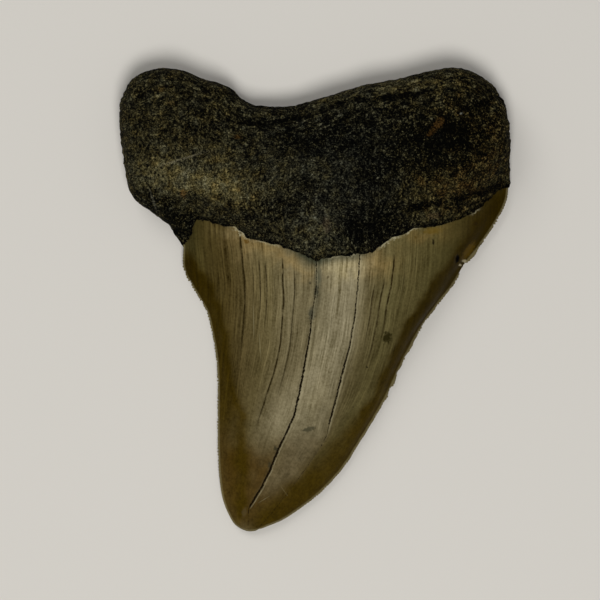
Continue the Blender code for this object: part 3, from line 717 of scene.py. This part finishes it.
    for part, strength in ((specks, speckContrast), (fibres, fibreContrast), (clumps, clumpContrast)):
        grainTone = addNode(tree, 'ShaderNodeMath', {
            "operation": 'MULTIPLY_ADD', 0: part, 1: strength, 2: grainTone})
    grainTone = addNode(tree, 'ShaderNodeMath', {
        "operation": 'MULTIPLY_ADD', 0: grainTone, 1: value["rootRough"], 2: finish["rootBase"]})
    # the creases darken the root tone: painted shade
    for part, strength in ((value["rootTone"], 1.0), (value["creaseAndShade"], -0.5)):
        grainTone = addNode(tree, 'ShaderNodeMath', {
            "operation": 'MULTIPLY_ADD', 0: part, 1: strength, 2: grainTone})
    # Painted shadow in the ditch just above the enamel edge
    ditchShadow = addNode(tree, 'ShaderNodeMapRange', {
        "interpolation_type": 'SMOOTHSTEP', "Value": below, "From Min": -1.1, "From Max": -0.2,
        "To Min": 0.0, "To Max": 0.2})
    grainTone = addNode(tree, 'ShaderNodeMath', {
        "operation": 'SUBTRACT', "use_clamp": True, 0: grainTone, 1: ditchShadow})
    # pale specks, partly the bone's own and partly painted highlights on its grain
    paleSpecksAndHighlights = addNode(tree, 'ShaderNodeTexNoise', {
        "noise_dimensions": '4D', "W": 12.0, "Vector": inMm, "Scale": 1.6, "Detail": 2,
        "Roughness": 0.7}, "Fac")
    paleSpecksAndHighlights = addNode(tree, 'ShaderNodeMapRange', {
        "Value": paleSpecksAndHighlights, "From Min": 0.56, "From Max": 0.72, "To Min": 0.0, "To Max": 0.28})
    grainTone = addNode(tree, 'ShaderNodeMath', {"operation": 'ADD', 0: grainTone, 1: paleSpecksAndHighlights})

    # Root colour: the tone's own, tinted cold or rusty
    root = addNode(tree, 'ShaderNodeValToRGB', {0: grainTone})
    fillRamp(root.node.color_ramp, finish["rootSteps"])
    hues = addNode(tree, 'ShaderNodeTexNoise', {
        "noise_dimensions": '4D', "W": 14.0, "Vector": inMm, "Scale": 0.45, "Detail": 3,
        "Roughness": 0.6}, "Fac")
    hue = -0.17
    for part, strength in ((value["rootWarm"], 0.45), (hues, 1.1)):
        hue = addNode(tree, 'ShaderNodeMath', {
            "operation": 'MULTIPLY_ADD', 0: part, 1: strength, 2: hue})
    tint = addNode(tree, 'ShaderNodeValToRGB', {0: hue})
    fillRamp(tint.node.color_ramp, finish["rootHues"])
    root = addNode(tree, 'ShaderNodeVectorMath', {"operation": 'MULTIPLY', 0: root, 1: tint})

    # Spots, ragged by the fine noise; on the root the specks show through them
    wander = addNode(tree, 'ShaderNodeMath', {"operation": 'MULTIPLY', 0: fineCentred, 1: 1.9})
    enamel = paintSpots(tree, enamel, enamelSpots, inMm, wander, value["isFront"])
    wander = addNode(tree, 'ShaderNodeMath', {"operation": 'MULTIPLY_ADD', 0: specks, 1: -4.5, 2: wander})
    wander = addNode(tree, 'ShaderNodeMath', {"operation": 'ADD', 0: wander, 1: 2.25})
    betweenSpecks = addNode(tree, 'ShaderNodeMapRange', {
        "Value": specks, "From Min": 0.42, "From Max": 0.54, "To Min": 0.05, "To Max": 1.0})
    root = paintSpots(tree, root, rootSpots, inMm, wander, betweenSpecks)

    # Fine cracks follow the growth lines, broken here and there
    bendSize, raggedSize = 0.5, 0.25        # mm
    bend = addNode(tree, 'ShaderNodeTexNoise', {
        "noise_dimensions": '4D', "W": 3.0, "Vector": inMm, "Scale": 0.25, "Detail": 2}, "Fac")
    bentGrowth = addNode(tree, 'ShaderNodeMath', {
        "operation": 'MULTIPLY_ADD', 0: bend, 1: bendSize, 2: value["growth"]})
    ragged = addNode(tree, 'ShaderNodeTexNoise', {
        "noise_dimensions": '4D', "W": 6.0, "Vector": inMm, "Scale": 1.5, "Detail": 3,
        "Roughness": 0.7}, "Fac")
    fineOnes = 0.0
    for place, start, end, half, dark in fineCracks:
        away = addNode(tree, 'ShaderNodeMath', {
            "operation": 'SUBTRACT', 0: bentGrowth, 1: place + bendSize / 2})
        away = addNode(tree, 'ShaderNodeMath', {"operation": 'ABSOLUTE', 0: away})
        away = addNode(tree, 'ShaderNodeMath', {
            "operation": 'MULTIPLY_ADD', 0: ragged, 1: raggedSize, 2: away})
        line = addNode(tree, 'ShaderNodeMapRange', {
            "Value": away, "From Min": half * 2.2 + raggedSize / 2,
            "From Max": half * 0.6 + raggedSize / 2, "To Min": 0.0, "To Max": dark})
        for begins, full in ((start, start + 2), (end, end - 7)):
            within = addNode(tree, 'ShaderNodeMapRange', {
                "Value": below, "From Min": begins, "From Max": full})
            line = addNode(tree, 'ShaderNodeMath', {"operation": 'MULTIPLY', 0: line, 1: within})
        fineOnes = addNode(tree, 'ShaderNodeMath', {"operation": 'MAXIMUM', 0: fineOnes, 1: line})
    broken = addNode(tree, 'ShaderNodeTexNoise', {
        "noise_dimensions": '4D', "W": 4.0, "Vector": inMm, "Scale": 0.6, "Detail": 3,
        "Roughness": 0.7}, "Fac")
    broken = addNode(tree, 'ShaderNodeMapRange', {
        "Value": broken, "From Min": 0.34, "From Max": 0.52, "To Min": 0.35, "To Max": 1.0})
    fineOnes = addNode(tree, 'ShaderNodeMath', {"operation": 'MULTIPLY', 0: fineOnes, 1: broken})

    # The deep cracks are dark inside, with a painted highlight along the lip on their right
    deepOnes, lips = 0.0, 0.0
    for gap, half in ((value["gapA"], value["halfA"]), (value["gapB"], value["halfB"])):
        away = addNode(tree, 'ShaderNodeMath', {"operation": 'MULTIPLY_ADD', 0: fineCentred, 1: 0.6, 2: gap})
        away = addNode(tree, 'ShaderNodeMath', {"operation": 'ABSOLUTE', 0: away})
        away = addNode(tree, 'ShaderNodeMath', {"operation": 'SUBTRACT', 0: away, 1: half})
        away = addNode(tree, 'ShaderNodeMath', {"operation": 'MULTIPLY_ADD', 0: ragged, 1: 0.58, 2: away})
        line = addNode(tree, 'ShaderNodeMapRange', {"Value": away, "From Min": 0.37, "From Max": 0.25})
        deepOnes = addNode(tree, 'ShaderNodeMath', {"operation": 'MAXIMUM', 0: deepOnes, 1: line})
        # a painted highlight on the crack's right lip
        lip = addNode(tree, 'ShaderNodeMath', {"operation": 'SUBTRACT', 0: gap, 1: half})
        lip = addNode(tree, 'ShaderNodeMath', {"operation": 'COMPARE', 0: lip, 1: 0.28, 2: 0.14})
        opened = addNode(tree, 'ShaderNodeMapRange', {"Value": half, "From Min": 0.02, "From Max": 0.1})
        lip = addNode(tree, 'ShaderNodeMath', {"operation": 'MULTIPLY', 0: lip, 1: opened})
        lips = addNode(tree, 'ShaderNodeMath', {"operation": 'MAXIMUM', 0: lips, 1: lip})
    lips = addNode(tree, 'ShaderNodeMath', {"operation": 'MULTIPLY', 0: lips, 1: broken})
    inside = addNode(tree, 'ShaderNodeMapRange', {"Value": below, "From Min": -0.1, "From Max": 0.3})
    inside = addNode(tree, 'ShaderNodeMath', {"operation": 'MULTIPLY', 0: inside, 1: value["isFront"]})
    # lips is a painted highlight on the deep cracks' right lips, in the chip colour
    for mask, strength, colour in (
            (fineOnes, 1.0, "fineCrack"), (lips, 0.3, "chip"), (deepOnes, 1.0, "crack")):
        share = addNode(tree, 'ShaderNodeMath', {"operation": 'MULTIPLY', 0: mask, 1: inside})
        share = addNode(tree, 'ShaderNodeMath', {"operation": 'MULTIPLY', 0: share, 1: strength})
        enamel = addNode(tree, 'ShaderNodeMix', {
            "data_type": 'RGBA', 0: share, 6: enamel, 7: linear(finish[colour])}, 2)
    cracks = addNode(tree, 'ShaderNodeMath', {"operation": 'MAXIMUM', 0: fineOnes, 1: deepOnes})
    cracks = addNode(tree, 'ShaderNodeMath', {"operation": 'MULTIPLY', 0: cracks, 1: inside})

    # Painted highlight along the cutting edge, and pale chips along the broken enamel edge
    rimHighlight = addNode(tree, 'ShaderNodeMath', {"operation": 'MULTIPLY_ADD', 0: fine, 1: 0.3, 2: value["inset"]})
    rimHighlight = addNode(tree, 'ShaderNodeMapRange', {
        "Value": rimHighlight, "From Min": 0.8, "From Max": 0.45, "To Min": 0.0, "To Max": 0.65})
    chipped = below
    for part, strength in ((specks, 1.8), (ragged, 2.2)):
        chipped = addNode(tree, 'ShaderNodeMath', {
            "operation": 'MULTIPLY_ADD', 0: part, 1: strength, 2: chipped})
    chipped = addNode(tree, 'ShaderNodeMapRange', {"Value": chipped, "From Min": 2.55, "From Max": 2.1})
    chipped = addNode(tree, 'ShaderNodeMath', {
        "operation": 'MULTIPLY', "use_clamp": True, 0: chipped, 1: value["chip"]})
    for share, colour in ((rimHighlight, "paleRimHighlight"), (chipped, "chip")):
        enamel = addNode(tree, 'ShaderNodeMix', {
            "data_type": 'RGBA', 0: share, 6: enamel, 7: linear(finish[colour])}, 2)

    # Relief too fine for the mesh
    grainHeight = addNode(tree, 'ShaderNodeBump', {
        "Strength": 0.7, "Distance": finish["grainHeight"] * mm, "Height": grainTone})
    lineHeight = addNode(tree, 'ShaderNodeMath', {"operation": 'SUBTRACT', 0: tone, 1: cracks})
    lineHeight = addNode(tree, 'ShaderNodeBump', {
        "Strength": 0.5, "Distance": finish["lineHeight"] * mm, "Height": lineHeight})

    # Pale growth lines are a little glossier, and the cracks are dull
    enamelShine = addNode(tree, 'ShaderNodeMapRange', {
        "Value": tone, "From Min": -0.12, "From Max": 0.12, "To Min": finish["crownRoughness"] + 0.07,
        "To Max": finish["crownRoughness"] - 0.05})
    enamelShine = addNode(tree, 'ShaderNodeMath', {
        "operation": 'MULTIPLY_ADD', "use_clamp": True, 0: cracks, 1: 0.5, 2: enamelShine})
    enamelShader = addNode(tree, 'ShaderNodeBsdfPrincipled', {
        "Base Color": enamel, "Roughness": enamelShine, "Normal": lineHeight, "IOR": 1.6,
        "Specular IOR Level": finish["crownSpecular"]})
    rootShader = addNode(tree, 'ShaderNodeBsdfPrincipled', {
        "Base Color": root, "Roughness": finish["rootRoughness"], "Normal": grainHeight, "IOR": 1.5,
        "Specular IOR Level": finish["rootSpecular"]})
    onEnamel = addNode(tree, 'ShaderNodeMath', {
        "operation": 'MULTIPLY_ADD', 0: fineCentred, 1: 0.35, 2: below})
    onEnamel = addNode(tree, 'ShaderNodeMapRange', {"Value": onEnamel, "From Min": -0.06, "From Max": 0.06})
    both = addNode(tree, 'ShaderNodeMixShader', {0: onEnamel, 1: rootShader, 2: enamelShader})
    addNode(tree, 'ShaderNodeOutputMaterial', {"Surface": both}, None)
    return material


tooth.data.materials.clear()
tooth.data.materials.append(toothMaterial(tooth.data, toothFinish))
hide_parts("tooth")
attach(tooth, "root")
print("finished the tooth's material")

# Floor, lights and camera

stage = {
    "floor": "#d8d4cc",
    "floorSize": 3.0,               # m
    "keyPower": 10,
    "fillPower": 5,
    "skyStrength": 0.18,
    "cameraPlace": (-3.8, 0.13),    # mm
    "cameraHeight": 1.2,            # m
    "frameWidth": 151.7,            # mm in view, at frameLevel above the floor
    "frameLevel": 6,
}

bpy.ops.object.select_all(action='DESELECT')
bpy.ops.mesh.primitive_plane_add(size=stage["floorSize"], location=(0, 0, 0))
floor = bpy.context.active_object
floor.name = "floor"
paper = bpy.data.materials.new("matt paper backdrop")
paper.use_nodes = True
paper.node_tree.nodes["Principled BSDF"].inputs["Base Color"].default_value = linear(stage["floor"])
paper.node_tree.nodes["Principled BSDF"].inputs["Roughness"].default_value = 0.9
floor.data.materials.append(paper)


def addSoftLight(name, place, size, power):
    # A round lamp that shines on the middle of the tooth
    lamp = bpy.data.lights.new(name, 'AREA')
    lamp.shape = 'DISK'
    lamp.size = size
    lamp.energy = power
    holder = bpy.data.objects.new(name, lamp)
    scene.collection.objects.link(holder)
    holder.location = place
    holder.rotation_euler = (-Vector(place)).to_track_quat('-Z', 'Y').to_euler()


addSoftLight("keyLight", (0.04, -0.46, 1.2), 0.55, stage["keyPower"])
addSoftLight("fillLight", (-0.6, 0.7, 1.0), 0.9, stage["fillPower"])
scene.world = bpy.data.worlds.new("studio")
scene.world.use_nodes = True
scene.world.node_tree.nodes["Background"].inputs[0].default_value = (1, 1, 1, 1)
scene.world.node_tree.nodes["Background"].inputs[1].default_value = stage["skyStrength"]
scene.view_settings.view_transform = 'Standard'

camera = bpy.data.cameras.new("camera")
camera.sensor_width = 36
camera.lens = 36 * (stage["cameraHeight"] * 1000 - stage["frameLevel"]) / stage["frameWidth"]
cameraHolder = bpy.data.objects.new("camera", camera)
scene.collection.objects.link(cameraHolder)
cameraX, cameraY = stage["cameraPlace"]
cameraHolder.location = (cameraX * mm, cameraY * mm, stage["cameraHeight"])
scene.camera = cameraHolder
print("stage ready")
